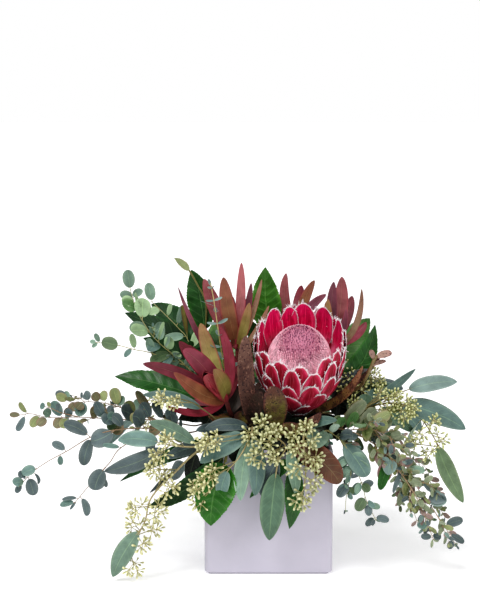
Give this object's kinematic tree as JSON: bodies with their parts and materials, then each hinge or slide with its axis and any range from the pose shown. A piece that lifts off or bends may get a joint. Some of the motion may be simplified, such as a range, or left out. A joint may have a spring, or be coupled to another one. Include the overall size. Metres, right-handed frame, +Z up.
{
  "type": "protea flower arrangement in a cube vase",
  "caption": "Protea bloom in a low white cube vase, set in foam with red leucadendron, broad glossy leaves and trailing eucalyptus.",
  "frame": {"origin": "centre of the vase's flat base", "axes": "+Z up, -Y to the front, where the bloom faces, and +X to the right as seen from the front"},
  "size_m": [0.4634, 0.2821, 0.307],
  "materials": {
    "vase": "satin",
    "foam": "matte",
    "bracts": "matte",
    "florets": "matte",
    "protea_leaf": "matte",
    "leucadendron": "satin",
    "salal": "satin",
    "eucalyptus": "matte",
    "seeded_eucalyptus": "matte",
    "seeds": "matte",
    "stems": "matte"
  },
  "bodies": {
    "root": {"vase": "vase", "foam": "foam", "protea_bracts": "bracts", "protea_florets": "florets", "seeded_centre": "seeded_eucalyptus", "protea_stem": "protea_leaf", "protea_leaves": "protea_leaf", "leucadendron_left": "leucadendron", "leucadendron_upper": "leucadendron", "leucadendron_back_left": "leucadendron", "leucadendron_back_right": "leucadendron", "salal_upper_left": "salal", "salal_back": "salal", "salal_right": "salal", "salal_left": "salal", "salal_front_left": "salal", "salal_front_right": "salal", "eucalyptus_upper_left": "eucalyptus", "eucalyptus_sprig": "eucalyptus", "eucalyptus_left": "eucalyptus", "eucalyptus_left_low": "eucalyptus", "seeded_left": "seeded_eucalyptus", "seeded_left_upper": "seeded_eucalyptus", "seeded_centre_left": "seeded_eucalyptus", "seeded_centre_right": "seeded_eucalyptus", "seeded_right": "seeded_eucalyptus", "seeded_right_back": "seeded_eucalyptus", "eucalyptus_right_near": "eucalyptus", "eucalyptus_right": "eucalyptus", "eucalyptus_right_low": "eucalyptus", "salal_rear_left": "salal", "salal_rear_right": "salal", "eucalyptus_rear": "eucalyptus", "seeded_rear_left": "seeded_eucalyptus", "seeded_rear_right": "seeded_eucalyptus"}
  },
  "joints": []
}
